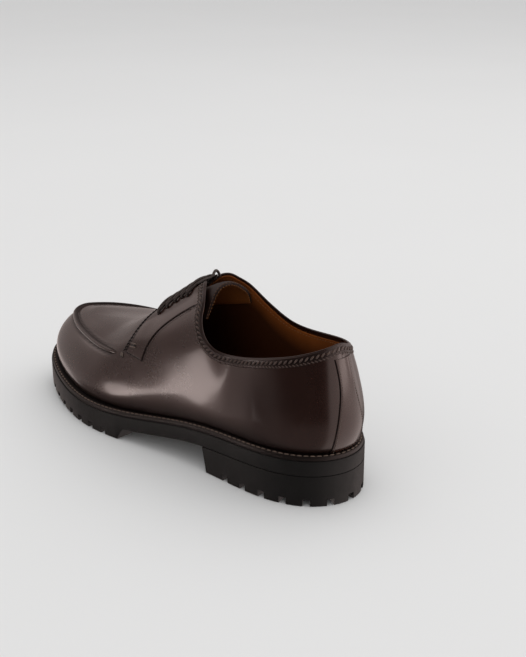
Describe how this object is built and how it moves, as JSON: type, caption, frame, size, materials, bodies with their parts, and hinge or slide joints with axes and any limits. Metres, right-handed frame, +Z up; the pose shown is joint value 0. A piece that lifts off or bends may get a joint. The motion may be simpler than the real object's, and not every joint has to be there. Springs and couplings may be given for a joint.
{
  "type": "dress shoe",
  "caption": "Left leather derby shoe with an apron toe, a laced open throat, a stitched welt and a lugged black rubber sole with a separate heel block.",
  "frame": {"origin": "middle of the shoe's plan at floor level, under the waist of the sole", "axes": "+Y towards the toe, +Z up, +X towards the inner side of the foot"},
  "size_m": [0.109, 0.3078, 0.1246],
  "materials": {
    "outsole_rubber": "matte moulded black rubber",
    "heel_rubber": "matte moulded black rubber",
    "welt_leather": "dark brown edge-dyed leather strip",
    "insole_leather": "plain tan leather",
    "upper_leather": "polished dark burgundy-brown calf",
    "tongue_leather": "polished dark burgundy-brown calf",
    "facing_leather": "polished dark burgundy-brown calf",
    "trim_leather": "dark stitched calf band",
    "backstay_leather": "polished dark burgundy-brown calf",
    "ridge_leather": "polished dark burgundy-brown piping",
    "lace_cotton": "round waxed dark cotton lace"
  },
  "bodies": {
    "root": {"outsole": "outsole_rubber", "heel": "heel_rubber", "welt": "welt_leather", "insole": "insole_leather", "upper": "upper_leather", "tongue": "tongue_leather", "facing_lateral": "facing_leather", "facing_medial": "facing_leather", "collar_trim": "trim_leather", "backstay": "backstay_leather", "apron_ridge": "ridge_leather", "lace_bar_1": "lace_cotton", "lace_bar_2": "lace_cotton", "lace_bar_3": "lace_cotton", "lace_bar_4": "lace_cotton", "lace_bar_5": "lace_cotton"}
  },
  "joints": []
}
